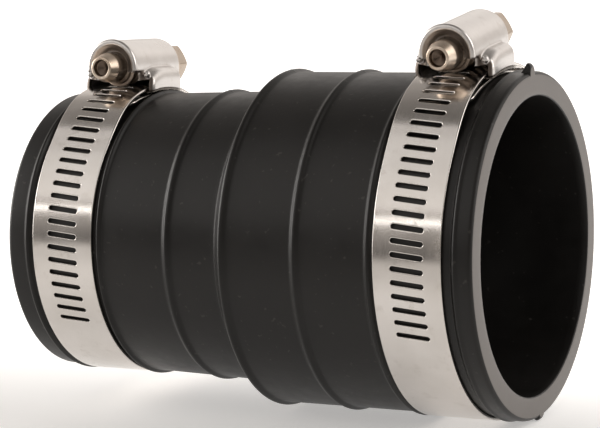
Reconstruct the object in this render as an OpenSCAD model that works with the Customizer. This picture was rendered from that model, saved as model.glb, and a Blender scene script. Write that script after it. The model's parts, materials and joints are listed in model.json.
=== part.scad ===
// Flexible reducing pipe coupling: a moulded rubber sleeve held by two worm-drive band clamps.
// Lengths are millimetres and angles are degrees.
// The sleeve's axis is X. The origin is the centre of the large mouth, +X leaves that mouth, and +Z is up.
// Angles round the sleeve are measured from +Z towards -Y, the side on which the slotted band is fed in.

/* [Pipe sockets] */
// Bore of the large socket, the outside of a nominal 2 inch pipe
large_bore_d = 60.3; // [59:0.1:61.5]
// Bore of the small socket, the outside of a nominal 1-1/2 inch pipe
small_bore_d = 48.3; // [44:0.1:50]
// Depth of the large socket
large_socket_depth = 50; // [44:0.5:51]

/* [Sleeve] */
// Overall length of the sleeve
sleeve_length = 106.5; // [104:0.5:116]
// Outer radius of the large body
large_body_r = 34.6; // [34:0.1:36]
// Outer radius of the small body beside the step
small_body_r = 30.45; // [30:0.05:31]
// Outer radius of the small body beside its clamp
small_neck_r = 29.85; // [29.6:0.05:30.4]
// Outer radius of the large lip
large_lip_r = 35.0; // [34.5:0.1:35.6]
// Outer radius of the small lip
small_lip_r = 29.6; // [29:0.1:30.4]
// Rounding of the outer edge of each mouth
lip_round = 1.0; // [0.4:0.1:1.6]
// How far each guide bead stands above its groove
bead_height = 0.9; // [0.5:0.1:1.1]
// Distance from the large mouth to the sharp step
step_at = 53.4; // [52.5:0.1:55]
// Distance from the large mouth to the plain ridge on the large body
large_ridge_at = 37.2; // [30:0.1:45]
// Distance from the large mouth to the plain ridge on the small body
small_ridge_at = 68.1; // [63:0.1:75]
// How far a plain ridge stands proud
ridge_height = 0.65; // [0.3:0.05:1.2]
// Height of the mould tab on the top of the large lip
top_tab_height = 1.9; // [1:0.1:2.5]
// Height of the mould tab on the bottom of the large lip
bottom_tab_height = 0.8; // [0.4:0.1:1.5]

/* [Clamps] */
// Width of the steel band
band_w = 14.2; // [12.7:0.1:14.3]
// Thickness of the steel band
band_t = 0.65; // [0.5:0.05:0.7]
// Distance from the large mouth to the middle of the large band
large_band_at = 13.2; // [12.8:0.1:13.2]
// Distance from the large mouth to the middle of the small band
small_band_at = 92.9; // [92.6:0.1:93.2]
// Angle of the large clamp's screw housing from the top, positive towards -Y
large_clamp_turn = 5; // [-180:1:180]
// Angle of the small clamp's screw housing from the top, positive towards -Y
small_clamp_turn = -4; // [-180:1:180]
// Pitch of the screw thread, which is also the pitch of the slots
thread_pitch = 2.8; // [2.6:0.05:3]
// Length of a slot
slot_len = 6.9; // [6:0.1:8]
// Width of a slot
slot_w = 1.05; // [1:0.05:1.2]
// Slots between the housing and the last slot of each band
slots_ahead = 24; // [18:1:30]
// Slots from the housing to the free end of each band
slots_behind = 10; // [8:1:11]
// Width across the flats of the screw head
head_af = 7.94; // [7:0.01:8.2]
// Outer radius of the arched housing over the screw
barrel_r = 5.75; // [5.6:0.05:6.1]
// Thickness of the housing's sheet
sheet_t = 1.1; // [0.8:0.05:1.1]

/* [Hidden] */
$fn = 96;
// Longer than any piece that it cuts
cut = 60;

// Sleeve
large_groove_r = large_body_r - 0.2;
small_groove_r = small_neck_r - 0.45;
large_bead_at = [3.5, 21.5];
small_bead_at = [84.3, 101.4];
bead_tube_r = 0.9;
ridge_tube_r = 1.1;
step_tube_r = 1.3;
step_crest_r = large_body_r + 0.7;
step_fillet = 0.6;
step_foot = step_at + 3.6;
stop_run = 3;
stop_chamfer = 1.5;
tab_w = 2.4;
tab_t = 1.5;
edge_steps = 6;

// Radial stack where the band passes the housing: lower layer, saddle, upper layer, thread
band_gap = 0.15;
large_band_r = large_groove_r + band_gap;
small_band_r = small_groove_r + band_gap;
saddle_gap = 0.3;
saddle_t = 0.6;
run_gap = 0.1;
band_lift = band_t + saddle_gap + saddle_t + run_gap;
tail_gap = 0.05;
screw_rise = 3.8;
thread_bite = 0.5;
thread_r = screw_rise + thread_bite;
root_r = 3.6;
screw_over_band = band_lift + band_t + screw_rise;

// Angles of the band's path, from its inner end, once round the sleeve and out under the screw
inner_end = 25;
ramp_up = [50, 20];
ramp_down = [-26, -46];
band_step = 3;
// Free end beyond the last slot, in slot steps
tail_margin = 1.6;
// How far a slot's cut passes each face of the band, and how far it stays off the layer below
slot_overcut = 0.3;
layer_gap = 0.02;

// Screw, along its own axis with its head towards +
tip_at = -13.3;
cone_end = -11;
thread_half = 7.3;
wall_at = [-8.7, 9.4];
wall_t = 1.0;
shaft_r = 3.1;
tip_r = 2.35;
tip_hole_r = 1.65;
tip_hole_depth = 2.2;
collar_r = 5.2;
head_at = 11.7;
head_end = 16.7;
head_face_r = head_af / 2 - 0.2;
head_dome = 1.6;
driver_slot_w = 1.3;
driver_slot_depth = 1.5;
thread_crest_w = 0.44;
thread_foot_w = 0.84;
thread_lap = 0.3;
journal_gap = 0.1;

// Housing, along the screw; the flaps stand outside the band and carry it on the saddle
rim_at = -9.1;
back_at = 10.6;
rim_r = barrel_r + 0.25;
rim_t = 0.9;
skirt_gap = 0.25;
flap_from = -6.1;
flap_to = 6.7;
// How far the arch's skirts reach below the screw's axis in front of the flaps
front_skirt = 1.05;
full_skirt = 2 * screw_rise;
flap_in = band_w / 2 + 0.25;
flap_out = flap_in + sheet_t;
shoulder_drop = 2.1;
arch_steps = 24;
corner_steps = 6;
saddle_half_w = flap_out + 0.2;
saddle_from = -6.6;
saddle_to = 10;

// The slots' spacing round the band, at the middle of its thickness where the thread meets it
function mesh_r(rb) = rb + band_lift + band_t / 2;
function slot_step(rb) = 360 * thread_pitch / (2 * PI * mesh_r(rb));
slot_slant = atan(thread_pitch / (2 * PI * (screw_rise + thread_bite / 2)));

function ease(u) = u <= 0 ? 0 : u >= 1 ? 1 : u * u * (3 - 2 * u);
// Inner radius of the band at an angle on its outer pass; the inner pass is at rb all the way
function outer_pass_r(rb, a) = rb + band_lift * ease((ramp_up[0] - a) / (ramp_up[0] - ramp_up[1]))
    - (band_lift - band_t - tail_gap) * ease((ramp_down[0] - a) / (ramp_down[0] - ramp_down[1]));
// Inner radius at any travel angle: from inner_end downwards through the back, the bottom and the front
function path_r(rb, travel) = outer_pass_r(rb, travel + 360);
function ring_point(r, a) = [-r * sin(a), r * cos(a)];
function arc_points(c, r, from, to, n) = [for (i = [0 : n])
    [c[0] + r * cos(from + (to - from) * i / n), c[1] + r * sin(from + (to - from) * i / n)]];

// Turns a shape made round Z into one round X
module along_x() {
    rotate([90, 0, 90]) children();
}

// A ring section from angle a0 to a1, between radii r0 and r1 and between x0 and x1
module ring_sector(r0, r1, x0, x1, a0, a1) {
    along_x()
        rotate([0, 0, 90 + a0])
            rotate_extrude(angle = a1 - a0)
                translate([r0, x0]) square([r1 - r0, x1 - x0]);
}

// A round bead whose crest is at radius crest_r
module bead(x, crest_r, tube_r) {
    along_x()
        rotate_extrude()
            translate([crest_r - tube_r, x]) circle(tube_r, $fn = 32);
}

module sleeve_outside() {
    back = -sleeve_length;
    outline = concat(
        [[0, 0]],
        arc_points([large_lip_r - lip_round, -lip_round], lip_round, 90, 0, edge_steps),
        [[large_lip_r, -large_bead_at[0]]],
        [[large_groove_r, -large_bead_at[0]]],
        [[large_groove_r, -large_bead_at[1]]],
        [[large_body_r, -large_bead_at[1]]],
        [[large_body_r, -step_at]],
        [[step_crest_r - step_tube_r, -step_at - step_tube_r]],
        [[small_body_r + step_fillet, -step_foot + step_fillet]],
        [[small_body_r, -step_foot]],
        [[small_neck_r, -small_bead_at[0]]],
        [[small_groove_r, -small_bead_at[0]]],
        [[small_groove_r, -small_bead_at[1]]],
        [[small_lip_r, -small_bead_at[1]]],
        arc_points([small_lip_r - lip_round, back + lip_round], lip_round, 0, -90, edge_steps),
        [[0, back]]);
    small_ridge_r = small_neck_r + (small_body_r - small_neck_r) * (small_bead_at[0] - small_ridge_at)
        / (small_bead_at[0] - step_foot);
    along_x() rotate_extrude() polygon(outline);
    for (x = large_bead_at) bead(-x, large_groove_r + bead_height, bead_tube_r);
    for (x = small_bead_at) bead(-x, small_groove_r + bead_height, bead_tube_r);
    bead(-large_ridge_at, large_body_r + ridge_height, ridge_tube_r);
    bead(-small_ridge_at, small_ridge_r + ridge_height, ridge_tube_r);
    bead(-step_at, step_crest_r, step_tube_r);
}

module sleeve_bore() {
    big = large_bore_d / 2;
    small = small_bore_d / 2;
    back = -sleeve_length;
    outline = [
        [0, 1], [big, 1],
        [big, -large_socket_depth], [big - stop_chamfer, -large_socket_depth - stop_chamfer],
        [small, -large_socket_depth - stop_run], [small, back - 1], [0, back - 1]];
    along_x() rotate_extrude() polygon(outline);
}

// A mould tab with a rounded top, flush with the mouth
module tab(height) {
    top = large_lip_r + height - tab_w / 2;
    root = large_lip_r - lip_round - 1;
    translate([-tab_t, -tab_w / 2, root]) cube([tab_t, tab_w, top - root]);
    translate([-tab_t, 0, top]) rotate([0, 90, 0]) cylinder(h = tab_t, d = tab_w);
}

module sleeve() {
    color([0.16, 0.15, 0.14])
        difference() {
            union() {
                sleeve_outside();
                tab(top_tab_height);
                rotate([180, 0, 0]) tab(bottom_tab_height);
            }
            sleeve_bore();
        }
}

// A round-ended slot, cut from radius r0 out to radius r1 at angle a
module slot_cutter(a, r0, r1) {
    reach = (slot_len - slot_w) / 2;
    rotate([a, 0, 0])
        translate([0, 0, r0])
            rotate([0, 0, -slot_slant]) {
                translate([-reach, -slot_w / 2, 0]) cube([2 * reach, slot_w, r1 - r0]);
                for (side = [-reach, reach])
                    translate([side, 0, 0]) cylinder(d = slot_w, h = r1 - r0, $fn = 24);
            }
}

module band(rb) {
    finish = -360 - (slots_behind + tail_margin) * slot_step(rb);
    steps = ceil((inner_end - finish) / band_step);
    stops = [for (i = [0 : steps]) inner_end + (finish - inner_end) * i / steps];
    inside = [for (a = stops) ring_point(path_r(rb, a), a)];
    outside = [for (i = [steps : -1 : 0]) ring_point(path_r(rb, stops[i]) + band_t, stops[i])];
    color([0.78, 0.76, 0.73])
        difference() {
            translate([-band_w / 2, 0, 0])
                along_x() linear_extrude(height = band_w) polygon(concat(inside, outside));
            for (i = [-slots_behind : slots_ahead]) {
                a = i * slot_step(rb);
                r = outer_pass_r(rb, a);
                one_layer = a > inner_end + 1;
                from = one_layer ? r - slot_overcut : max(r - slot_overcut, rb + band_t + layer_gap);
                slot_cutter(a, from, r + band_t + slot_overcut);
            }
        }
}

// The plate between the two layers of the band, which carries the housing on its side wings
module saddle(rb) {
    r = rb + band_t + saddle_gap;
    color([0.70, 0.69, 0.66])
        ring_sector(r, r + saddle_t, -saddle_half_w, saddle_half_w,
            -asin(saddle_to / r), -asin(saddle_from / r));
}

// Section of the arch over the screw, of outer radius r, with skirts that reach down by skirt
module arch_section(r, skirt = full_skirt) {
    polygon(concat(arc_points([0, 0], r, 0, 180, arch_steps), [[-r, -skirt], [r, -skirt]]));
}

// Section of the shoulder that joins the two flaps under the arch, with its corners rounded
module shoulder_section() {
    corner_x = flap_out - sheet_t;
    corner_y = -shoulder_drop - sheet_t;
    foot_y = -4 * screw_rise;
    polygon(concat(
        [[flap_out, foot_y]],
        arc_points([corner_x, corner_y], sheet_t, 0, 90, corner_steps),
        arc_points([-corner_x, corner_y], sheet_t, 90, 180, corner_steps),
        [[-flap_out, foot_y]]));
}

// Extrudes a section along the screw from y0 to y1
module along_screw(y0, y1) {
    translate([0, y1, 0]) rotate([90, 0, 0]) linear_extrude(height = y1 - y0) children();
}

module housing_outside() {
    along_screw(rim_at, back_at) arch_section(barrel_r, front_skirt);
    along_screw(flap_from, back_at) arch_section(barrel_r);
    along_screw(rim_at, rim_at + rim_t) arch_section(rim_r, front_skirt);
    along_screw(flap_from, flap_to)
        difference() {
            shoulder_section();
            translate([-flap_in, -cut - shoulder_drop - sheet_t]) square([2 * flap_in, cut]);
        }
}

// The chamber round the thread, the recess in front of it and the screw's two journals
module housing_inside() {
    along_screw(wall_at[0] + wall_t, wall_at[1]) arch_section(barrel_r - sheet_t);
    along_screw(rim_at - 1, wall_at[0]) arch_section(barrel_r - sheet_t);
    rotate([-90, 0, 0]) cylinder(r = shaft_r + journal_gap, h = cut, center = true);
}

module housing(rb) {
    seat_r = rb + band_t + saddle_gap + saddle_t;
    band_way_r = rb + band_lift + band_t + skirt_gap;
    color([0.80, 0.78, 0.75])
        difference() {
            translate([0, 0, rb + screw_over_band])
                difference() {
                    housing_outside();
                    housing_inside();
                }
            along_x() cylinder(r = seat_r, h = cut, center = true);
            along_x() cylinder(r = band_way_r, h = 2 * barrel_r + 1, center = true);
        }
}

// Cross-section of a one-start thread, with its crest at 90 degrees
module thread_section() {
    crest = 180 * thread_crest_w / thread_pitch;
    foot = 180 * thread_foot_w / thread_pitch;
    polygon(concat(
        arc_points([0, 0], thread_r, 90 - crest, 90 + crest, 4),
        arc_points([0, 0], root_r, 90 + foot, 450 - foot, 14)));
}

// The helical thread along +Y, with its crest on the band's side at the middle
module thread() {
    length = 2 * thread_half;
    turns = length / thread_pitch;
    rotate([-90, 0, 0])
        translate([0, 0, -thread_half])
            rotate([0, 0, -180 * turns])
                linear_extrude(height = length, twist = -360 * turns, slices = ceil(16 * turns), $fn = 24)
                    thread_section();
}

// Turns an outline of [radius, distance along the screw] round the screw's axis
module turned(outline) {
    rotate([90, 0, 0]) mirror([0, 0, 1]) rotate_extrude() polygon(outline);
}

module screw_turning() {
    turned([[0, tip_at], [tip_r, tip_at], [shaft_r, cone_end],
        [shaft_r, thread_lap - thread_half], [0, thread_lap - thread_half]]);
    collar_at = back_at + journal_gap;
    turned([[0, thread_half - thread_lap], [shaft_r, thread_half - thread_lap],
        [shaft_r, collar_at], [collar_r, collar_at], [collar_r, head_at], [0, head_at]]);
}

// The hexagon head with its far corners chamfered round and a slot for a driver
module screw_head() {
    corner_r = head_af / 2 / cos(30);
    difference() {
        intersection() {
            rotate([-90, 0, 0])
                translate([0, 0, head_at]) cylinder(r = corner_r, h = head_end - head_at, $fn = 6);
            turned([[0, head_at], [corner_r + 1, head_at], [corner_r + 1, head_end - head_dome],
                [head_face_r, head_end], [0, head_end]]);
        }
        translate([-driver_slot_w / 2, head_end - driver_slot_depth, -cut / 2])
            cube([driver_slot_w, cut, cut]);
    }
}

module screw(rb) {
    color([0.74, 0.70, 0.64])
        translate([0, 0, rb + screw_over_band])
            difference() {
                union() {
                    thread();
                    screw_turning();
                    screw_head();
                }
                rotate([-90, 0, 0])
                    translate([0, 0, tip_at - 1]) cylinder(r = tip_hole_r, h = tip_hole_depth + 1);
            }
}

// Puts a piece of a clamp in its groove, turned to its place
module on_large() {
    rotate([large_clamp_turn, 0, 0]) translate([-large_band_at, 0, 0]) children();
}

module on_small() {
    rotate([small_clamp_turn, 0, 0]) translate([-small_band_at, 0, 0]) children();
}

module large_band() { on_large() band(large_band_r); }
module large_housing() { on_large() housing(large_band_r); }
module large_saddle() { on_large() saddle(large_band_r); }
module large_screw() { on_large() screw(large_band_r); }
module small_band() { on_small() band(small_band_r); }
module small_housing() { on_small() housing(small_band_r); }
module small_saddle() { on_small() saddle(small_band_r); }
module small_screw() { on_small() screw(small_band_r); }

sleeve();
large_band();
large_housing();
large_saddle();
large_screw();
small_band();
small_housing();
small_saddle();
small_screw();
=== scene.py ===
"""Looks for the flexible reducing pipe coupling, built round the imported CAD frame.

Shapes are worked out in millimetres in the part's own frame and written to their meshes in metres.
A clamp's own frame has x along the sleeve, y along the screw towards its head and z outwards.
"""

import json
import math

import bmesh
import bpy
import numpy as np
from mathutils import Matrix, Vector


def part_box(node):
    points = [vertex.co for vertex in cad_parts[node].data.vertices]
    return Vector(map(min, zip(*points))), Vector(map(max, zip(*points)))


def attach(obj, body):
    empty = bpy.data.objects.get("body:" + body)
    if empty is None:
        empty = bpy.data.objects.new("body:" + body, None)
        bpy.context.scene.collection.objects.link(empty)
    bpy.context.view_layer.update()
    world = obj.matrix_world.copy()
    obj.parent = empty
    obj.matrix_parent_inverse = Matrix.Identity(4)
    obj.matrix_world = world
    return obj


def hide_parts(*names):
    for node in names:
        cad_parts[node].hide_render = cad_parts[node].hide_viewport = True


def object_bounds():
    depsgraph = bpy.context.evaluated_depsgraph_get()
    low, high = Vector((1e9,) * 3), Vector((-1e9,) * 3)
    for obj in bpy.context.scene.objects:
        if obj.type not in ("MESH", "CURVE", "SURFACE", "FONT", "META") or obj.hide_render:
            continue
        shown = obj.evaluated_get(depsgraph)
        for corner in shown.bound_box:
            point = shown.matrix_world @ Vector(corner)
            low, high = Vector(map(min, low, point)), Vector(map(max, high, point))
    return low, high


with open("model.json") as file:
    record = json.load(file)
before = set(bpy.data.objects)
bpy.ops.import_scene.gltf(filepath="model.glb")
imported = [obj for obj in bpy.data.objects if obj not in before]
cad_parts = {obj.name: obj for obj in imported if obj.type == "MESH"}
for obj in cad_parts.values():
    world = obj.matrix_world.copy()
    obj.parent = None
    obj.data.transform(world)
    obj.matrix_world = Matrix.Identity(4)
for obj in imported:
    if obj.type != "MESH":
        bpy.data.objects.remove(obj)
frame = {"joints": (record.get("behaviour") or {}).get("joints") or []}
cad_box = [list(corner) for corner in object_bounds()]

MM = 0.001


# ---------------------------------------------------------------- mesh helpers

NET_ROUNDS = 3
NEWTON_STEPS = 4
SLOPE_REACH = 0.02
LEAST_SLOPE = 0.05
LONGEST_MOVE = 0.6


def make_piece(name, points, faces, body, materials, crease, painted_shade=None):
    """A closed mesh that stands for the CAD node of that name.

    It is smooth but for edges sharper than crease degrees. Its last argument gives each point a share of
    painted shade, the darkening that stands in for shade in hollows and under other parts, which the material
    reads.
    """
    mesh = bpy.data.meshes.new(name)
    mesh.from_pydata((np.asarray(points, float) * MM).tolist(), [], np.asarray(faces).tolist())
    for material in materials:
        mesh.materials.append(material)
    shape = bmesh.new()
    shape.from_mesh(mesh)
    bmesh.ops.recalc_face_normals(shape, faces=shape.faces)
    shape.to_mesh(mesh)
    shape.free()
    if painted_shade is not None:
        # each point's share of painted shade, dark colour standing in for shade
        mesh.attributes.new("painted_shade", "FLOAT", "POINT").data.foreach_set("value", painted_shade.astype(np.float32))
    mesh.shade_smooth()
    mesh.set_sharp_from_angle(angle=math.radians(crease))
    piece = bpy.data.objects.new(name + "_look", mesh)
    bpy.context.scene.collection.objects.link(piece)
    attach(piece, body)
    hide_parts(name)
    return piece


def weld(corners, digits):
    """Shared points and the faces that use them, from an array of faces by corners by coordinates."""
    flat = corners.reshape(-1, corners.shape[-1])
    _, first, place = np.unique(np.round(flat, digits), axis=0, return_index=True, return_inverse=True)
    return flat[first], place.reshape(corners.shape[:2])


def surface_net(field, low, high, step):
    """A quad mesh of the surface where field(points) is zero, with its points relaxed and laid on it."""
    low = np.asarray(low, float)
    counts = [int(math.ceil((b - a) / step)) + 1 for a, b in zip(low, high)]
    axes = [low[i] + step * np.arange(counts[i]) for i in range(3)]
    grid = np.stack(np.meshgrid(*axes, indexing="ij"), -1).reshape(-1, 3)
    inside = (field(grid) < 0).reshape(counts)
    quads = []
    # a quad for each grid edge that crosses the surface, with the four cells round that edge as its corners
    for axis in range(3):
        along = np.moveaxis(inside, axis, 0)
        spots = np.argwhere(along[1:] != along[:-1])
        order = [axis] + [i for i in range(3) if i != axis]
        corners = np.stack([spots - [0, a, b] for a, b in ((0, 0), (1, 0), (1, 1), (0, 1))], 1)
        placed = np.empty_like(corners)
        for position, dimension in enumerate(order):
            placed[..., dimension] = corners[..., position]
        quads.append(placed)
    cells = np.concatenate(quads)
    keys, faces = np.unique(cells.reshape(-1, 3), axis=0, return_inverse=True)
    faces = faces.reshape(-1, 4)
    points = low + (keys + 0.5) * step
    for _ in range(NET_ROUNDS):
        points = relax(points, faces)
        points = lay_on(field, points, step)
    return lay_on(field, points, step), faces


def relax(points, faces):
    """Each point moves to the middle of its neighbours."""
    total = np.zeros_like(points)
    uses = np.zeros(len(points))
    for a, b in ((0, 1), (1, 2), (2, 3), (3, 0)):
        for here, there in ((a, b), (b, a)):
            np.add.at(total, faces[:, here], points[faces[:, there]])
            np.add.at(uses, faces[:, here], 1)
    return total / uses[:, None]


def lay_on(field, points, step):
    """Newton steps along the field's slope, each capped so that a point can't leave its neighbourhood."""
    for _ in range(NEWTON_STEPS):
        value = field(points)
        slope = np.empty_like(points)
        for axis in range(3):
            offset = np.zeros(3)
            offset[axis] = SLOPE_REACH
            slope[:, axis] = (field(points + offset) - field(points - offset)) / (2 * SLOPE_REACH)
        size = np.maximum((slope ** 2).sum(1), LEAST_SLOPE)
        move = -slope * (value / size)[:, None]
        length = np.linalg.norm(move, axis=1)
        cap = np.minimum(1, LONGEST_MOVE * step / np.maximum(length, 1e-9))
        points = points + move * cap[:, None]
    return points


def smooth_max(a, b, k):
    """The larger of two fields, with the edge between them rounded over about k."""
    share = np.clip(0.5 + 0.5 * (a - b) / k, 0, 1)
    return b * (1 - share) + a * share + k * share * (1 - share)


def smooth_min(a, b, k):
    """The smaller of two fields, with the edge between them rounded over about k."""
    return -smooth_max(-a, -b, k)


def smooth_step(value):
    """Rises softly from 0 to 1 as value does."""
    value = np.clip(value, 0, 1)
    return value * value * (3 - 2 * value)


# ---------------------------------------------------------------- clamps, from the frame

BAND_T = 0.65
BAND_LIFT = 1.65  # how far the outer layer stands off the sleeve under the screw
SCREW_RISE = 3.8  # from the outer layer's top to the screw's axis
THREAD_PITCH = 2.8


class Clamp:
    """One clamp's places and sizes, read from its screw's joint and its band's box."""

    def __init__(self, size):
        joint = next(j for j in frame["joints"] if j["name"] == size + "_screw_turn")
        self.x, y, z = (value / MM for value in joint["pos_m"])
        low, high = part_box(size + "_band")
        self.size = size
        self.turn = math.atan2(-y, z)
        self.screw_r = math.hypot(y, z)
        self.band_w = (high.x - low.x) / MM
        self.band_r = self.screw_r - SCREW_RISE - BAND_T - BAND_LIFT
        self.slot_step = THREAD_PITCH / (self.band_r + BAND_LIFT + BAND_T / 2)

    def place(self, points):
        """Points in the clamp's own frame, about the sleeve's axis, into the part's frame."""
        x, y, z = np.asarray(points, float).T
        c, s = math.cos(self.turn), math.sin(self.turn)
        return np.stack([x + self.x, y * c - z * s, y * s + z * c], 1)

    def place_screw(self, points):
        """The same for points measured from the screw's axis."""
        return self.place(np.asarray(points, float) + [0, 0, self.screw_r])


# ---------------------------------------------------------------- sleeve

SLEEVE_ROUND = 300
LIP_R = 35.0
LIP_ROUND = 1.0
LARGE_BORE_R = 30.15
SMALL_BORE_R = 24.15
BORE_EDGE = 0.25
# the outline as (distance from the large mouth, radius), up to the last flat
OUTLINE = [(0, LIP_R), (3.0, LIP_R), (4.4, 34.4), (20.8, 34.4), (21.9, 34.6), (53.9, 34.6),
           (56.9, 30.5), (83.8, 29.87), (85.2, 29.4), (100.8, 29.4), (101.9, 29.6)]
# guide beads and ridges as (distance from the large mouth, height, half width)
RIDGES = [(3.7, 0.55, 0.85), (21.5, 0.7, 0.9), (37.2, 0.62, 1.15), (68.1, 0.6, 1.15),
          (53.3, 0.68, 1.3), (84.3, 0.85, 0.9), (101.4, 0.85, 0.9)]
# where the outline needs close stations, as (middle, half width)
FINE_SPANS = [(3.6, 1.0), (21.5, 1.1), (37.2, 1.3), (53.3, 1.5), (68.1, 1.3), (84.3, 1.1), (101.4, 1.1)]
# and where wide ones will do, as (first, last, gap)
WIDE_SPANS = [(8, 17, 3), (24, 33, 3), (40, 49, 3), (58, 64, 2), (71, 80, 3), (88, 97, 3)]
STEP_FROM = 53.9
STEP_STATIONS = 12
STATION_GAP = 0.3
BLUR_GAP = 0.05
BLUR_COUNT = 7
TABS = ((1, 1.75), (-1, 0.7))  # top and bottom: side of the sleeve, height
TAB_HALF_W = 1.25
TAB_SIDE = 0.8
TAB_DEPTH = 1.9
TAB_SLOPE = 0.9
SEAM_HEIGHT = 0.045
SEAM_W = 0.16
SEAM_FROM = 2.2
LEAST_TURN = 0.0015  # the closest that two angles may lie, in radians
FACE_DEPTH = 0.05
FACE_SQUARE = 0.97  # a face of the end's material looks along the axis at least this squarely


def bump(x, at, half_width):
    """A smooth ridge of height 1."""
    return np.where(np.abs(x - at) < half_width, np.cos((x - at) / half_width * math.pi / 2) ** 2, 0)


def sleeve_outer_r(x, length):
    """Outer radius at x, where x is the distance from the large mouth into the sleeve."""
    stations, radii = np.transpose(OUTLINE + [(length, OUTLINE[-1][1])])
    r = np.interp(x, stations, radii)
    for at, height, half_width in RIDGES:
        r = r + height * bump(x, at, half_width)
    for edge in (x, length - x):
        inward = np.clip(LIP_ROUND - edge, 0, LIP_ROUND)
        r = r - (LIP_ROUND - np.sqrt(LIP_ROUND ** 2 - inward ** 2))
    return r


def blurred_step(x, r):
    """Rounds the corners where two slopes of the outline meet."""
    fine_x = np.arange(x[0], x[-1], BLUR_GAP)
    fine_r = np.interp(fine_x, x, r)
    kernel = np.hanning(BLUR_COUNT + 2)[1:-1]
    kernel /= kernel.sum()
    soft = np.convolve(np.pad(fine_r, BLUR_COUNT // 2, mode="edge"), kernel, mode="valid")
    clear = LIP_ROUND + 0.3
    middle = (x > clear) & (x < x[-1] - clear)
    return np.where(middle, np.interp(x, fine_x, soft), r)


def sleeve_stations(length):
    """Distances from the large mouth at which the outline is drawn."""
    near_edge = [0.0, 0.01, 0.06, 0.15, 0.3, 0.45, 0.6, 0.8, 1.0]
    stops = set(near_edge) | {length - value for value in near_edge} | {2.0, 2.4}
    for at, half_width in FINE_SPANS:
        stops |= {round(at + half_width * k / 6, 4) for k in range(-7, 8)}
    stops |= {round(STEP_FROM + STATION_GAP * k, 4) for k in range(STEP_STATIONS)}
    for first, last, gap in WIDE_SPANS:
        stops |= set(range(first, last + 1, gap))
    return np.array(sorted(stops))


def bore_profile(length):
    """The bore as (distance from the large mouth, radius), from one end face through to the other."""
    profile = [(length, 28.0), (length, 26.6), (length, 25.2), (length, SMALL_BORE_R + BORE_EDGE)]
    profile += [(length - 0.08, SMALL_BORE_R + 0.08), (length - BORE_EDGE, SMALL_BORE_R)]
    profile += [(x, SMALL_BORE_R) for x in (100, 92, 84, 76, 68, 60, 54.0, 53.2)]
    profile += [(52.9, SMALL_BORE_R + 0.2), (51.6, 28.4), (51.3, 28.9), (50.2, LARGE_BORE_R - 0.1)]
    profile += [(x, LARGE_BORE_R) for x in (49.8, 44, 36, 28, 20, 12, 6, 2, BORE_EDGE)]
    profile += [(0.08, LARGE_BORE_R + 0.08), (0, LARGE_BORE_R + BORE_EDGE), (0, 31.4), (0, 32.7)]
    return np.array(profile)


def sleeve_angles():
    """Angles round the sleeve, even but for the closer ones at the mould tabs."""
    even = np.arange(SLEEVE_ROUND) * 2 * math.pi / SLEEVE_ROUND
    beside = np.array([0.1, 0.35, 0.55, 0.75, 0.95, 1.1, 1.2, TAB_HALF_W, 1.35]) / LIP_R
    at_tab = np.concatenate([[0], beside, -beside])
    angles = np.concatenate([even, at_tab, at_tab + math.pi]) % (2 * math.pi)
    angles = np.unique(np.round(angles, 5))
    keep = np.concatenate([[True], np.diff(angles) > LEAST_TURN])
    return angles[keep]


def tab_height(y, x, height):
    """Height of the mould tab that stands on the lip at the parting line."""
    across = np.clip((TAB_HALF_W - np.abs(y)) / TAB_SIDE, 0, 1)
    along = np.clip((TAB_DEPTH - x) / TAB_SLOPE, 0, 1)
    return height * np.sqrt(np.clip(across * (2 - across), 0, 1)) * smooth_step(along)


def sleeve():
    """The moulded sleeve, turned from its profile, with its tabs and its faint mould seam."""
    low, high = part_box("sleeve")
    length = (high.x - low.x) / MM
    outer_x = sleeve_stations(length)
    outer_r = blurred_step(outer_x, sleeve_outer_r(outer_x, length))
    profile = np.concatenate([np.column_stack([outer_x, outer_r]), bore_profile(length)])
    a, x = np.meshgrid(sleeve_angles(), profile[:, 0], indexing="ij")
    r = np.broadcast_to(profile[:, 1], a.shape).copy()
    outside = np.arange(len(profile)) < len(outer_x)
    across = r * np.sin(a)
    for up, height in TABS:
        near_tab = (np.cos(a) * up > 0) & outside & (x > 0)
        r += np.where(near_tab, tab_height(across, x, height), 0)
    seam = np.exp(-(across / SEAM_W) ** 2) * outside * (x > SEAM_FROM) * (x < length - LIP_ROUND)
    r += SEAM_HEIGHT * seam
    points = np.stack([-x, -r * np.sin(a), r * np.cos(a)], -1).reshape(-1, 3)
    rounds, count = a.shape
    i, j = np.meshgrid(np.arange(rounds), np.arange(count), indexing="ij")
    i_next = (i + 1) % rounds
    j_next = (j + 1) % count
    faces = np.stack([i * count + j, i * count + j_next, i_next * count + j_next, i_next * count + j], -1)
    piece = make_piece("sleeve", points, faces.reshape(-1, 4), "sleeve",
                       [rubber(), rubber_face()], crease=50)
    # the end faces take the paler copy of the rubber, which is painted light
    for face in piece.data.polygons:
        at = -face.center.x / MM
        flat = abs(face.normal.x) > FACE_SQUARE
        face.material_index = 1 if flat and (at < FACE_DEPTH or at > length - FACE_DEPTH) else 0


# ---------------------------------------------------------------- slotted bands

SLOT_LEN = 6.9
SLOT_W = 1.02
SLOT_EDGE = 0.12
SLOT_MARGIN = 0.12
THREAD_BITE = 0.25  # depth below the band's top at which the slots' slant follows the thread's
SLOTS_AHEAD = 24
SLOTS_BEHIND = 10
TAIL_MARGIN = 1.6
TAIL_CORNER = 2.6
TAIL_GAP = 0.05
INNER_END = 25  # degrees by which the inner end runs on past the screw
INNER_LIFT = 0.55
LIFT_FROM = 6
RAMP_UP = (50, 20)  # degrees between which the band rises to the outer layer, and falls again
RAMP_DOWN = (-26, -46)
EDGE_ROUND = 0.2
CELL_HALF_W = 4.1
CELL_POINTS = 11
EDGE_FLAT = 5.4
ROW_STEP = 0.25
TINY = 1e-6


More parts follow.
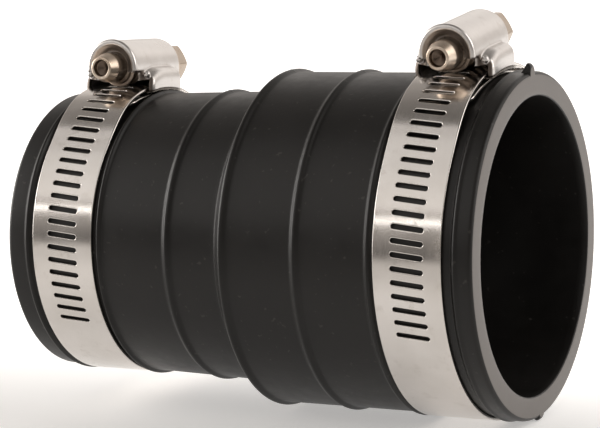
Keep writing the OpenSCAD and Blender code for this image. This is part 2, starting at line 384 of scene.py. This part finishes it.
def band_inner_r(clamp, a):
    """Inner radius of the band at angle a, in degrees, where 0 is under the screw on its outer pass."""
    up = smooth_step((RAMP_UP[0] - a) / (RAMP_UP[0] - RAMP_UP[1]))
    down = smooth_step((RAMP_DOWN[0] - a) / (RAMP_DOWN[0] - RAMP_DOWN[1]))
    return clamp.band_r + BAND_LIFT * up - (BAND_LIFT - BAND_T - TAIL_GAP) * down


def arc_degrees(start, stop, count):
    """Evenly spaced angles between two given in degrees, as radians."""
    return [math.radians(start + (stop - start) * i / count) for i in range(count + 1)]


def cell_outline():
    """The rectangle round one slot as (steps along the band, mm across it), from one corner and back."""
    across = np.linspace(-CELL_HALF_W, CELL_HALF_W, CELL_POINTS)
    along = np.linspace(0.5, -0.5, 5)
    top = [(0.5, w) for w in across[:-1]]
    right = [(u, CELL_HALF_W) for u in along[:-1]]
    bottom = [(-0.5, w) for w in across[:0:-1]]
    left = [(u, -CELL_HALF_W) for u in along[:0:-1]]
    return np.array(top + right + bottom + left)


def slot_outline(offset):
    """The slot's round-ended outline, grown by offset, with a point for each one of cell_outline."""
    reach = (SLOT_LEN - SLOT_W) / 2
    r = SLOT_W / 2 + offset
    straight = np.linspace(-reach, reach, 7)

    def end(side, degrees):
        angles = [math.radians(d) for d in degrees]
        return [(r * math.sin(angle), side * reach + r * math.cos(angle)) for angle in angles]

    top = end(-1, [135, 112.5]) + [(r, w) for w in straight] + end(1, [67.5])
    right = end(1, [45, 22.5, 0, -22.5])
    bottom = end(1, [-45, -67.5]) + [(-r, w) for w in straight[::-1]] + end(-1, [-112.5])
    left = end(-1, [-135, -157.5, 180, 157.5])
    outline = np.array(top + right + bottom + left)
    slant = math.atan(THREAD_PITCH / (2 * math.pi * (SCREW_RISE + THREAD_BITE)))
    along = outline[:, 0] * math.cos(slant) + outline[:, 1] * math.sin(slant)
    across = outline[:, 1] * math.cos(slant) - outline[:, 0] * math.sin(slant)
    return np.stack([along / THREAD_PITCH, across], 1)


def slot_rings():
    """Outlines and heights from the edge of a slot's cell down the slot's wall and out again underneath."""
    bevel = 0.3 * SLOT_EDGE
    cut = [(SLOT_EDGE + SLOT_MARGIN, BAND_T), (SLOT_EDGE, BAND_T)]
    cut += [(bevel, BAND_T - bevel), (0, BAND_T - SLOT_EDGE)]
    cut += [(offset, BAND_T - height) for offset, height in reversed(cut)]
    outline = cell_outline()
    return [(outline, BAND_T)] + [(slot_outline(offset), height) for offset, height in cut] + [(outline, 0.0)]


def slot_quads():
    """The quads of every slot's cell."""
    rings = slot_rings()
    quads = []
    for slot in range(-SLOTS_BEHIND, SLOTS_AHEAD + 1):
        loops = [np.column_stack([ring[:, 0] + slot, ring[:, 1], np.full(len(ring), height)])
                 for ring, height in rings]
        for near, far in zip(loops, loops[1:]):
            quads.append(np.stack([near, np.roll(near, -1, 0), np.roll(far, -1, 0), far], 1))
    return quads


def edge_profile(half_w):
    """Half of the band's section from the slots' cell out round its edge and back, as (mm across, height)."""
    corner = half_w - EDGE_ROUND
    top = [(CELL_HALF_W, BAND_T), (EDGE_FLAT, BAND_T), (corner - 0.15, BAND_T)]
    top += [(corner + EDGE_ROUND * math.sin(d), BAND_T - EDGE_ROUND + EDGE_ROUND * math.cos(d))
            for d in arc_degrees(0, 90, 4)]
    bottom = [(w, BAND_T - t) for w, t in reversed(top)]
    return np.array(top + bottom)


def row_quads(rows, line):
    """Quads between neighbouring rows of the same (across, height) line."""
    a = np.array([[(u, w, t) for w, t in line] for u in rows])
    quads = np.stack([a[:-1, :-1], a[:-1, 1:], a[1:, 1:], a[1:, :-1]], 2)
    return quads.reshape(-1, 4, 3)


def end_quads(end, side, flat):
    """The strip's square-cut end, from its top line to its underside."""
    outer_half = side[:len(side) // 2]
    middle = np.column_stack([flat, np.full(len(flat), BAND_T)])[1:-1]
    top_line = np.concatenate([(outer_half * [-1, 1])[::-1], middle, outer_half])
    at = np.full(len(top_line), end)
    top = np.column_stack([at, top_line])
    bottom = np.column_stack([at, top_line[:, 0], BAND_T - top_line[:, 1]])
    return np.stack([top[:-1], top[1:], bottom[1:], bottom[:-1]], 1)


def flat_strip(first, last, half_w):
    """Points and faces of the strip laid flat, as (slot pitches along it, mm across it, height)."""
    quads = slot_quads()
    rows = np.concatenate([[last], np.arange(-SLOTS_BEHIND - 1.5, first - 0.05, ROW_STEP), [first]])
    rows = np.unique(np.round(rows, 6))
    rows = rows[(rows >= last - TINY) & (rows <= first + TINY)]
    side = edge_profile(half_w)
    for mirror in (1, -1):
        quads.append(row_quads(rows, side * [mirror, 1]))
    flat = np.linspace(-CELL_HALF_W, CELL_HALF_W, CELL_POINTS)
    tail = rows[rows <= -SLOTS_BEHIND - 0.5 + TINY]
    rest = rows[rows >= SLOTS_AHEAD + 0.5 - TINY]
    for height in (BAND_T, 0.0):
        line = np.column_stack([flat, np.full(len(flat), height)])
        quads += [row_quads(tail, line), row_quads(rest, line)]
    quads += [end_quads(end, side, flat) for end in (first, last)]
    return weld(np.concatenate(quads), 5)


def band(clamp):
    """The slotted strip: one turn round the sleeve, then under the screw and out as a tail."""
    half_w = clamp.band_w / 2
    first = (360 + INNER_END) / math.degrees(clamp.slot_step)
    last = -(SLOTS_BEHIND + TAIL_MARGIN)
    points, faces = flat_strip(first, last, half_w)
    along, across, height = points.T
    to_end = np.clip(np.minimum(along - last, first - along) * THREAD_PITCH, 0, TAIL_CORNER)
    narrowing = TAIL_CORNER - np.sqrt(np.maximum(TAIL_CORNER ** 2 - (TAIL_CORNER - to_end) ** 2, 0))
    across = across * (half_w - narrowing) / half_w
    degrees = np.degrees(along * clamp.slot_step)
    stiff_end = INNER_LIFT * smooth_step((degrees - (360 + LIFT_FROM)) / (INNER_END - LIFT_FROM))
    r = band_inner_r(clamp, degrees) + stiff_end + height
    angle = np.radians(degrees)
    local = np.stack([across, -r * np.sin(angle), r * np.cos(angle)], 1)
    make_piece(clamp.size + "_band", clamp.place(local), faces, clamp.size + "_strap",
               [band_steel()], crease=50)


# ---------------------------------------------------------------- housings, saddles and screws

NET_STEP = 0.17
HOUSING_NET = ((-8.8, -9.4, -6.4), (8.8, 11.0, 6.3))
BARREL_R = 5.75
BACK_AT = 10.6
RIM_AT = -9.1
RIM_R = 0.62
CHAMBER_R = 4.75
CHAMBER_SPAN = (-6.6, 9.4)
DISH_AT = -7.45  # the barrel's end wall, which is pressed in round the screw's tip
DISH_DEPTH = 1.15
DISH_FLAT_R = 3.4
DISH_SLOPE = 1.4
FLAP_OUT = 8.45
FLAP_IN = 7.35
FLAP_SPAN = (-6.1, 6.7)
FRONT_SKIRT = 1.05
SHOULDER_AT = -0.15
SHOULDER_SPAN = (-0.5, 3.5)
SHOULDER_DROOP = (0.055, 0.03)
LUG_AT = (7.0, FLAP_SPAN[0] + 0.15, -1.5)
LUG_R = 0.72
SHAFT_R = 3.1
SHAFT_PLAY = 0.12
BAND_PLAY = 0.25
SHEET_T = 1.0
SADDLE_GAP = 0.3
SADDLE_T = 0.6
SADDLE_SPAN = (-6.6, 10.1)
SADDLE_CORNER = 1.4
SADDLE_THIN = 0.3  # off the underside of the front end, where the band's inner end runs in
THIN_SPAN = (1.0, 5.5)


def arch(x, z):
    """Distance from the screw's axis above it, and from its upright plane below it."""
    return np.where(z > 0, np.hypot(x, z), np.abs(x))


def between(value, low, high):
    """Negative inside a span."""
    return np.abs(value - (low + high) / 2) - (high - low) / 2


def shoulder_top(y):
    """Height of the flaps' shoulder, which droops towards both ends."""
    front = SHOULDER_DROOP[0] * np.maximum(SHOULDER_SPAN[0] - y, 0) ** 2
    back = SHOULDER_DROOP[1] * np.maximum(y - SHOULDER_SPAN[1], 0) ** 2
    return SHOULDER_AT - front - back


def from_lug(side, y, z):
    """Distance from the small lug at the front of each flap."""
    return np.sqrt((side - LUG_AT[0]) ** 2 + (y - LUG_AT[1]) ** 2 + (z - LUG_AT[2]) ** 2) - LUG_R


def housing_outside(side, y, z):
    """The barrel with its rolled rim and open front, and the flaps with their lugs."""
    vault = arch(side, z)
    barrel = smooth_max(vault - BARREL_R, between(y, RIM_AT + 0.35, BACK_AT), 0.9)
    rim = np.hypot(vault - (BARREL_R - 0.4), y - (RIM_AT + RIM_R)) - RIM_R
    barrel = smooth_min(barrel, rim, 0.5)
    open_front = smooth_max(y - FLAP_SPAN[0], z + FRONT_SKIRT, 0.5)
    barrel = smooth_max(barrel, -open_front, 0.45)
    flap = smooth_max(side - FLAP_OUT, z - shoulder_top(y), 2.6)
    flap = smooth_max(flap, between(y, *FLAP_SPAN), 1.4)
    return smooth_min(smooth_min(barrel, flap, 0.5), from_lug(side, y, z), 0.3)


def housing_hollow(clamp, side, y, z):
    """The room inside for the thread, the screw's shaft, the band and the saddle."""
    vault = arch(side, z)
    radial = np.hypot(y, z + clamp.screw_r)
    seat_r = clamp.band_r + BAND_T + SADDLE_GAP + SADDLE_T
    way_r = clamp.band_r + BAND_LIFT + BAND_T + BAND_PLAY
    wall_at = DISH_AT - DISH_DEPTH * smooth_step((vault - DISH_FLAT_R) / DISH_SLOPE)
    dish = smooth_max(vault - (BARREL_R - 0.9), y - wall_at, 0.5)
    chamber = smooth_max(vault - CHAMBER_R, between(y, *CHAMBER_SPAN), 0.6)
    gap = np.maximum(side - FLAP_IN, z - (shoulder_top(y) - SHEET_T))
    gap = np.maximum(gap, between(y, RIM_AT - 1, FLAP_SPAN[1] - SHEET_T))
    journal = np.hypot(side, z) - SHAFT_R - SHAFT_PLAY
    way = np.maximum(radial - way_r, side - BARREL_R - 0.5)
    return np.minimum.reduce([chamber, dish, gap, journal, way, radial - seat_r])


def housing_painted_shade(side, y, z):
    """Painted shade: darkening inside the barrel and in its dished front, deeper towards the screw, and along
    the front edge of the flaps but for their lugs.
    """
    vault = arch(side, z)
    inside = smooth_step((BARREL_R - 0.7 - vault) / 0.6)
    dish = inside * (0.1 + 0.6 * smooth_step((4.4 - vault) / 1.4))
    edge = smooth_step((FLAP_SPAN[0] + 1.2 - y) / 0.5) * smooth_step((side - 5.0) / 0.5)
    edge = edge * smooth_step((-0.4 - z) / 0.4) * smooth_step((8.3 - side) / 0.3)
    return np.maximum(dish, edge * smooth_step((from_lug(side, y, z) - 0.1) / 0.3))


def housing(clamp):
    """The pressed housing: a half barrel standing on two flaps that bulge at the shoulder."""
    def field(points):
        x, y, z = points.T
        side = np.abs(x)
        return smooth_max(housing_outside(side, y, z), -housing_hollow(clamp, side, y, z), 0.16)

    points, faces = surface_net(field, *HOUSING_NET, NET_STEP)
    x, y, z = points.T
    # painted shade: the barrel's inside, its dish and the flaps' front edge are darkened
    make_piece(clamp.size + "_housing", clamp.place_screw(points), faces, clamp.size + "_clamp",
               [housing_steel()], crease=60, painted_shade=housing_painted_shade(np.abs(x), y, z))


def saddle(clamp):
    """The curved plate between the band's two layers, with rounded corners and a thinner front end."""
    middle_r = clamp.band_r + BAND_T + SADDLE_GAP + SADDLE_T / 2
    half_w = FLAP_OUT + 0.2

    def field(points):
        x, y, z = points.T
        along = np.arctan2(y, z) * middle_r
        dx = np.abs(x) - half_w + SADDLE_CORNER
        dy = between(along, *SADDLE_SPAN) + SADDLE_CORNER
        corner = np.hypot(np.maximum(dx, 0), np.maximum(dy, 0))
        outline = corner + np.minimum(np.maximum(dx, dy), 0) - SADDLE_CORNER
        above = np.hypot(y, z) - middle_r
        thinned = SADDLE_THIN * smooth_step((-along - THIN_SPAN[0]) / (THIN_SPAN[1] - THIN_SPAN[0]))
        sheet = np.maximum(above - SADDLE_T / 2, thinned - SADDLE_T / 2 - above)
        return smooth_max(outline, sheet, 0.15)

    low = (-half_w - 0.3, -7.2, middle_r - 2.2)
    high = (half_w + 0.3, 10.6, middle_r + 0.8)
    points, faces = surface_net(field, low, high, NET_STEP)
    x, y, z = points.T
    # painted shade on the saddle's sides where they reach out past the flaps, but for its rear end
    painted_shade = smooth_step((np.abs(x) - 6.5) / 0.5) * smooth_step((6.5 - y) / 2.5)
    make_piece(clamp.size + "_saddle", clamp.place(points), faces, clamp.size + "_clamp",
               [band_steel()], crease=60, painted_shade=painted_shade)


SCREW_NET_STEP = 0.15
SCREW_NET = ((-5.5, -13.6, -5.5), (5.5, 17.0, 5.5))
TIP_AT = -13.3
TIP_R = 2.35
TIP_TAPER = 2.3
TIP_HOLE_R = 1.75
TIP_HOLE_DEPTH = 2.2
THREAD_HALF = 7.3
THREAD_R = 4.3
ROOT_R = 3.6
THREAD_CREST_W = 0.44
THREAD_FOOT_W = 0.84
THREAD_FADE = 0.7
COLLAR_AT = 10.7
COLLAR_R = 5.2
HEAD_AT = 11.7
HEAD_END = 16.7
HEAD_AF = 7.94
HEAD_FACE_R = 3.77
HEAD_DOME = 1.6
HEAD_SLOT_HALF = 0.65
HEAD_SLOT_DEPTH = 1.5


def screw_core_r(x, y, z):
    """Radius of the shaft and its right-hand thread at a point."""
    stations = [TIP_AT, TIP_AT + TIP_TAPER, -THREAD_HALF - 0.2, -THREAD_HALF + 0.2,
                THREAD_HALF - 0.2, THREAD_HALF + 0.2]
    plain = np.interp(y, stations, [TIP_R, SHAFT_R, SHAFT_R, ROOT_R, ROOT_R, SHAFT_R])
    turned = (np.degrees(np.arctan2(-z, x)) - 90) / 360 - y / THREAD_PITCH
    offset = np.abs(turned - np.round(turned)) * THREAD_PITCH
    flank = (THREAD_FOOT_W - THREAD_CREST_W) / 2
    tooth = smooth_step((THREAD_FOOT_W / 2 - offset) / flank)
    fade = smooth_step((THREAD_HALF - np.abs(y)) / THREAD_FADE)
    return plain + (THREAD_R - ROOT_R) * tooth * fade


def screw_head(x, y, z):
    """The hexagon with its domed end."""
    flats = [np.abs(x * math.cos(a) + z * math.sin(a)) - HEAD_AF / 2 for a in arc_degrees(30, 150, 2)]
    hexagon = smooth_max(smooth_max(flats[0], flats[1], 0.25), flats[2], 0.25)
    slope = (HEAD_AF / 2 / math.cos(math.pi / 6) + 1 - HEAD_FACE_R) / HEAD_DOME
    dome = (np.hypot(x, z) - HEAD_FACE_R + slope * (y - HEAD_END)) / math.hypot(1, slope)
    return smooth_max(smooth_max(hexagon, between(y, HEAD_AT, HEAD_END), 0.3), dome, 0.25)


def screw(clamp):
    """The worm screw: cup-pointed tip, thread, collar and a slotted hexagon head."""
    def field(points):
        x, y, z = points.T
        radial = np.hypot(x, z)
        core = smooth_max((radial - screw_core_r(x, y, z)) * 0.6, between(y, TIP_AT, HEAD_AT), 0.2)
        collar = smooth_max(radial - COLLAR_R, between(y, COLLAR_AT, HEAD_AT), 0.4)
        solid = smooth_min(smooth_min(core, collar, 0.15), screw_head(x, y, z), 0.15)
        slot = np.maximum(np.abs(x) - HEAD_SLOT_HALF, HEAD_END - HEAD_SLOT_DEPTH - y)
        hole = smooth_max(radial - TIP_HOLE_R, y - TIP_AT - TIP_HOLE_DEPTH + 0.5 * radial, 0.2)
        return smooth_max(solid, -np.minimum(slot, hole), 0.2)

    points, faces = surface_net(field, *SCREW_NET, SCREW_NET_STEP)
    x, y, z = points.T
    # painted shade: dark in the tip's hole and along the thread, and a lighter painted shade over the head
    # past the collar
    in_hole = smooth_step((TIP_HOLE_R + 0.1 - np.hypot(x, z)) / 0.3) * smooth_step((y - TIP_AT - 0.15) / 0.4)
    on_thread = smooth_step((y + 10.5) / 1.5) * smooth_step((THREAD_HALF - y) / 1.0)
    painted_shade = np.maximum.reduce([in_hole * (y < 0), 0.7 * on_thread, 0.4 * smooth_step(y - COLLAR_AT)])
    make_piece(clamp.size + "_screw", clamp.place_screw(points), faces, clamp.size + "_worm",
               [screw_steel()], crease=60, painted_shade=painted_shade)


# ---------------------------------------------------------------- materials

class Nodes:
    """A short way to write one material's node tree."""

    def __init__(self, name):
        self.material = bpy.data.materials.new(name)
        self.material.use_nodes = True
        self.tree = self.material.node_tree
        self.shader = self.tree.nodes["Principled BSDF"]

    def add(self, kind, **values):
        node = self.tree.nodes.new(kind)
        for key, value in values.items():
            setattr(node, key, value)
        return node

    def link(self, source, target):
        self.tree.links.new(source, target)

    def put(self, node, socket, value):
        if isinstance(value, (int, float, tuple)):
            node.inputs[socket].default_value = value
        else:
            self.link(value, node.inputs[socket])

    def place(self):
        return self.add("ShaderNodeTexCoord").outputs["Object"]

    def math(self, operation, a, b=0.0):
        node = self.add("ShaderNodeMath", operation=operation)
        self.put(node, 0, a)
        self.put(node, 1, b)
        return node.outputs[0]

    def noise(self, vector, scale, detail=3.0, roughness=0.55):
        node = self.add("ShaderNodeTexNoise")
        self.link(vector, node.inputs["Vector"])
        node.inputs["Scale"].default_value = scale
        node.inputs["Detail"].default_value = detail
        node.inputs["Roughness"].default_value = roughness
        return node.outputs["Fac"]

    def ramp(self, value, low, high, to_low=0.0, to_high=1.0, shape="LINEAR"):
        node = self.add("ShaderNodeMapRange", interpolation_type=shape)
        self.put(node, "Value", value)
        node.inputs["From Min"].default_value = low
        node.inputs["From Max"].default_value = high
        node.inputs["To Min"].default_value = to_low
        node.inputs["To Max"].default_value = to_high
        return node.outputs[0]

    def mix(self, share, base, colour):
        """The base, which is a colour or a node's output, blended into the other colour by the share."""
        node = self.add("ShaderNodeMix", data_type="RGBA")
        self.put(node, 0, share)
        self.put(node, 6, (*base, 1) if isinstance(base, tuple) else base)
        self.put(node, 7, (*colour, 1))
        return node.outputs[2]

    def painted_shade(self):
        """The share of painted shade that make_piece gave to each point."""
        return self.add("ShaderNodeAttribute", attribute_name="painted_shade").outputs["Fac"]

    def bump(self, height, strength, distance, onto=None):
        node = self.add("ShaderNodeBump")
        node.inputs["Strength"].default_value = strength
        node.inputs["Distance"].default_value = distance
        self.link(height, node.inputs["Height"])
        if onto is not None:
            self.link(onto, node.inputs["Normal"])
        return node.outputs["Normal"]

    def finish(self, colour, roughness, normal, metallic=0.0):
        self.link(colour, self.shader.inputs["Base Color"])
        self.link(roughness, self.shader.inputs["Roughness"])
        self.link(normal, self.shader.inputs["Normal"])
        self.shader.inputs["Metallic"].default_value = metallic
        return self.material

    def round_axis(self, vector, along_scale, round_scale):
        """Coordinates that run round the sleeve's axis, with different scales along it and round it."""
        parts = self.add("ShaderNodeSeparateXYZ")
        self.link(vector, parts.inputs[0])
        angle = self.math("ARCTAN2", parts.outputs["Y"], parts.outputs["Z"])
        joined = self.add("ShaderNodeCombineXYZ")
        self.link(self.math("MULTIPLY", parts.outputs["X"], along_scale), joined.inputs["X"])
        self.link(self.math("MULTIPLY", self.math("SINE", angle), round_scale), joined.inputs["Y"])
        self.link(self.math("MULTIPLY", self.math("COSINE", angle), round_scale), joined.inputs["Z"])
        return joined.outputs[0]

    def stretched(self, vector, scale):
        node = self.add("ShaderNodeMapping")
        self.link(vector, node.inputs["Vector"])
        node.inputs["Scale"].default_value = scale
        return node.outputs[0]


def once(make):
    """Each material is made once and shared."""
    made = {}

    def get():
        if make.__name__ not in made:
            made[make.__name__] = make()
        return made[make.__name__]
    return get


@once
def rubber():
    """Satin moulded rubber: near black, finely grained, with faint smudges and dust."""
    n = Nodes("sleeve_rubber")
    at = n.place()
    smudge = n.noise(at, 38, 5, 0.6)
    grain = n.noise(at, 2600, 2, 0.5)
    mottle = n.noise(at, 420, 4, 0.6)
    specks = n.ramp(n.noise(at, 900, 2, 0.4), 0.69, 0.75)
    colour = n.mix(n.ramp(smudge, 0.35, 0.7), (0.0042, 0.0036, 0.0031), (0.0078, 0.0068, 0.0060))
    colour = n.mix(n.math("MULTIPLY", specks, 0.25), colour, (0.09, 0.082, 0.075))
    rough = n.math("ADD", n.ramp(smudge, 0.3, 0.75, 0.36, 0.47), n.ramp(mottle, 0.3, 0.7, -0.03, 0.03))
    n.shader.inputs["Specular IOR Level"].default_value = 0.34
    return n.finish(colour, rough, n.bump(mottle, 0.18, 0.00012, n.bump(grain, 0.25, 0.00004)))


@once
def rubber_face():
    """The end faces: a paler, duller copy of the rubber, painted light standing in for how brightly they are
    lit, with a fine grain.
    """
    n = Nodes("sleeve_rubber_face_painted_light")
    at = n.place()
    smudge = n.noise(at, 60, 5, 0.6)
    grain = n.noise(at, 1800, 3, 0.6)
    colour = n.mix(n.ramp(smudge, 0.3, 0.7), (0.125, 0.114, 0.106), (0.165, 0.152, 0.143))
    return n.finish(colour, n.ramp(smudge, 0.3, 0.7, 0.5, 0.62), n.bump(grain, 0.3, 0.00005))


@once
def band_steel():
    """Rolled stainless strip: satin, with fine streaks along its length and a few dull stains."""
    n = Nodes("band_steel")
    at = n.place()
    streaks = n.noise(n.round_axis(at, 9000, 14), 1.0, 4, 0.6)
    cloud = n.noise(at, 70, 4, 0.6)
    stains = n.ramp(n.noise(at, 240, 5, 0.65), 0.57, 0.74)
    colour = n.mix(n.ramp(cloud, 0.3, 0.7), (0.63, 0.595, 0.56), (0.72, 0.685, 0.655))
    colour = n.mix(n.math("MULTIPLY", stains, 0.35), colour, (0.42, 0.37, 0.32))
    # painted shade: near black where the piece gives a share of it, as on the saddle's sides
    colour = n.mix(n.math("MULTIPLY", n.painted_shade(), 0.9), colour, (0.05, 0.04, 0.03))
    rough = n.math("ADD", n.ramp(cloud, 0.3, 0.7, 0.14, 0.19), n.ramp(streaks, 0.3, 0.7, -0.03, 0.05))
    rough = n.math("ADD", rough, n.math("MULTIPLY", stains, 0.12))
    return n.finish(colour, rough, n.bump(streaks, 0.18, 0.00003), metallic=1.0)


@once
def housing_steel():
    """Pressed and tumbled stainless: softly dented, with fine draw marks, dull stains and painted shade in
    places.
    """
    n = Nodes("housing_steel")
    at = n.place()
    draw = n.noise(n.stretched(at, (700, 3200, 700)), 1.0, 3, 0.6)
    cloud = n.noise(at, 160, 4, 0.6)
    dents = n.noise(at, 520, 2, 0.5)
    stains = n.ramp(n.noise(at, 330, 5, 0.7), 0.57, 0.75)
    colour = n.mix(n.ramp(cloud, 0.3, 0.7), (0.58, 0.555, 0.535), (0.66, 0.635, 0.615))
    colour = n.mix(n.math("MULTIPLY", stains, 0.3), colour, (0.38, 0.32, 0.27))
    # painted shade: near black where the piece gives a share of it
    shade_share = n.painted_shade()
    colour = n.mix(n.math("MULTIPLY", shade_share, 0.9), colour, (0.07, 0.05, 0.037))
    rough = n.math("ADD", n.ramp(cloud, 0.3, 0.7, 0.27, 0.36), n.math("MULTIPLY", stains, 0.12))
    rough = n.math("ADD", rough, n.math("MULTIPLY", shade_share, 0.12))
    normal = n.bump(dents, 0.2, 0.00015, n.bump(draw, 0.12, 0.00003))
    return n.finish(colour, rough, normal, metallic=1.0)


@once
def screw_steel():
    """Plated screw steel with a warm passivated tint."""
    n = Nodes("screw_steel")
    at = n.place()
    cloud = n.noise(at, 260, 4, 0.6)
    marks = n.noise(at, 1500, 3, 0.6)
    colour = n.mix(n.ramp(cloud, 0.3, 0.7), (0.50, 0.40, 0.31), (0.66, 0.57, 0.48))
    # painted shade: near black where the piece gives a share of it
    colour = n.mix(n.math("MULTIPLY", n.painted_shade(), 0.9), colour, (0.06, 0.04, 0.03))
    return n.finish(colour, n.ramp(cloud, 0.3, 0.7, 0.24, 0.36), n.bump(marks, 0.2, 0.00004), metallic=1.0)


# ---------------------------------------------------------------- stage, light and camera

CAMERA_TARGET = Vector((-0.05314, 0.00075, 0.00471))
CAMERA_DISTANCE = 0.4824
CAMERA_AZIMUTH = math.radians(26.73)
CAMERA_ELEVATION = math.radians(9.09)
CAMERA_ROLL = math.radians(2.48)
CAMERA_FOV = math.radians(14.885)
# brightness of the room at elevations in degrees, in front of the object and behind it
ROOM_FRONT = [(0, 0.12), (12, 0.35), (22, 0.45), (55, 0.2), (90, 0.12)]
ROOM_BACK = [(0, 0.85), (28, 0.82), (45, 0.42), (90, 0.22)]
ROOM_BLEND = (-0.15, 0.25)
ROOM_TINT = (1, 0.93, 0.87)
LIGHT_TINT = (1, 0.97, 0.94)
# name, azimuth and elevation in degrees, distance and size in metres, power in watts
SOFTBOXES = [
    ("softbox_front", -28, 45, 0.9, (1.3, 0.58), 1.5),
    ("strip_high", -28, 65.5, 0.9, (1.3, 0.05), 0.17),
    ("strip_low", -28, 21, 0.9, (1.3, 0.035), 0.5),
    ("softbox_left", -82, 13, 1.0, (0.75, 0.5), 6.8),
    ("softbox_back", 170, 30, 1.6, (2.4, 0.7), 2.4),
    ("softbox_right", 100, 30, 1.1, (0.6, 0.9), 4.5),
]
FLOOR_HALF = 3.0
# where the floor's glow starts and ends along Y, and how strong it gets, before the object and behind it
GLOW_FRONT = (-0.19, -0.085, 0.22)
GLOW_BACK = (-0.05, 0.08, 0.6)


def direction(azimuth, elevation):
    """Unit vector towards an azimuth from -Y to +X and an elevation, in radians."""
    flat = math.cos(elevation)
    return Vector((math.sin(azimuth) * flat, -math.cos(azimuth) * flat, math.sin(elevation)))


def add_camera():
    """The camera at the photo's angle, leaning by its roll."""
    outward = direction(CAMERA_AZIMUTH, CAMERA_ELEVATION)
    right = Vector((math.cos(CAMERA_AZIMUTH), math.sin(CAMERA_AZIMUTH), 0))
    up = outward.cross(right)
    leaning_up = up * math.cos(CAMERA_ROLL) + right * math.sin(CAMERA_ROLL)
    leaning_right = leaning_up.cross(outward)
    data = bpy.data.cameras.new("camera")
    data.sensor_width = 36
    data.angle = CAMERA_FOV
    data.clip_start = 0.01
    data.clip_end = 20
    camera = bpy.data.objects.new("camera", data)
    axes = Matrix((leaning_right, leaning_up, outward)).transposed()
    camera.matrix_world = Matrix.Translation(CAMERA_TARGET + outward * CAMERA_DISTANCE) @ axes.to_4x4()
    bpy.context.scene.collection.objects.link(camera)
    bpy.context.scene.camera = camera


def add_softbox(name, azimuth, elevation, distance, size, power):
    """A rectangular soft light aimed at the camera's target."""
    data = bpy.data.lights.new(name, "AREA")
    data.shape = "RECTANGLE"
    data.size, data.size_y = size
    data.energy = power
    data.color = LIGHT_TINT
    light = bpy.data.objects.new(name, data)
    outward = direction(math.radians(azimuth), math.radians(elevation))
    light.location = CAMERA_TARGET + outward * distance
    light.rotation_euler = outward.to_track_quat("Z", "Y").to_euler()
    bpy.context.scene.collection.objects.link(light)


def add_floor():
    """A wide pale sheet that glows as painted light, dimmer in front of the object."""
    height = cad_box[0][2]
    mesh = bpy.data.meshes.new("floor")
    corners = [(x * FLOOR_HALF, y * FLOOR_HALF, height) for x, y in ((-1, -1), (1, -1), (1, 1), (-1, 1))]
    mesh.from_pydata(corners, [], [(0, 1, 2, 3)])
    n = Nodes("floor_pale_glowing")
    at = n.place()
    tint = n.noise(at, 3.0, 2)
    n.link(n.mix(tint, (0.80, 0.795, 0.785), (0.83, 0.825, 0.815)), n.shader.inputs["Base Color"])
    n.shader.inputs["Roughness"].default_value = 0.7
    parts = n.add("ShaderNodeSeparateXYZ")
    n.link(at, parts.inputs[0])
    # painted light: the floor glows, rising along Y, which also lightens the object's shadow on it
    rises = [n.ramp(parts.outputs["Y"], start, stop, 0.0, strength, "SMOOTHSTEP")
             for start, stop, strength in (GLOW_FRONT, GLOW_BACK)]
    n.link(n.math("ADD", *rises), n.shader.inputs["Emission Strength"])
    n.shader.inputs["Emission Color"].default_value = (1, 0.98, 0.96, 1)
    mesh.materials.append(n.material)
    floor = bpy.data.objects.new("floor", mesh)
    bpy.context.scene.collection.objects.link(floor)


def add_world():
    """A plain room: a pale wall low behind the object, dim in front and overhead."""
    world = bpy.data.worlds.new("room")
    world.use_nodes = True
    tree = world.node_tree
    place = tree.nodes.new("ShaderNodeTexCoord")
    parts = tree.nodes.new("ShaderNodeSeparateXYZ")
    tree.links.new(place.outputs["Generated"], parts.inputs[0])
    sides = []
    for stops in (ROOM_FRONT, ROOM_BACK):
        ramp = tree.nodes.new("ShaderNodeValToRGB")
        tree.links.new(parts.outputs["Z"], ramp.inputs[0])
        elements = ramp.color_ramp.elements
        while len(elements) < len(stops):
            elements.new(0.5)
        for element, (elevation, level) in zip(elements, stops):
            element.position = math.sin(math.radians(elevation))
            element.color = (*(level * tint for tint in ROOM_TINT), 1)
        sides.append(ramp.outputs[0])
    share = tree.nodes.new("ShaderNodeMapRange")
    tree.links.new(parts.outputs["Y"], share.inputs["Value"])
    share.inputs["From Min"].default_value = ROOM_BLEND[0]
    share.inputs["From Max"].default_value = ROOM_BLEND[1]
    both = tree.nodes.new("ShaderNodeMix")
    both.data_type = "RGBA"
    tree.links.new(share.outputs[0], both.inputs[0])
    tree.links.new(sides[0], both.inputs[6])
    tree.links.new(sides[1], both.inputs[7])
    tree.links.new(both.outputs[2], tree.nodes["Background"].inputs["Color"])
    tree.nodes["Background"].inputs["Strength"].default_value = 1.0
    bpy.context.scene.world = world


sleeve()
for clamp_size in ("large", "small"):
    clamp_now = Clamp(clamp_size)
    band(clamp_now)
    housing(clamp_now)
    saddle(clamp_now)
    screw(clamp_now)
add_camera()
add_floor()
add_world()
for softbox in SOFTBOXES:
    add_softbox(*softbox)
bpy.context.scene.view_settings.view_transform = "Standard"
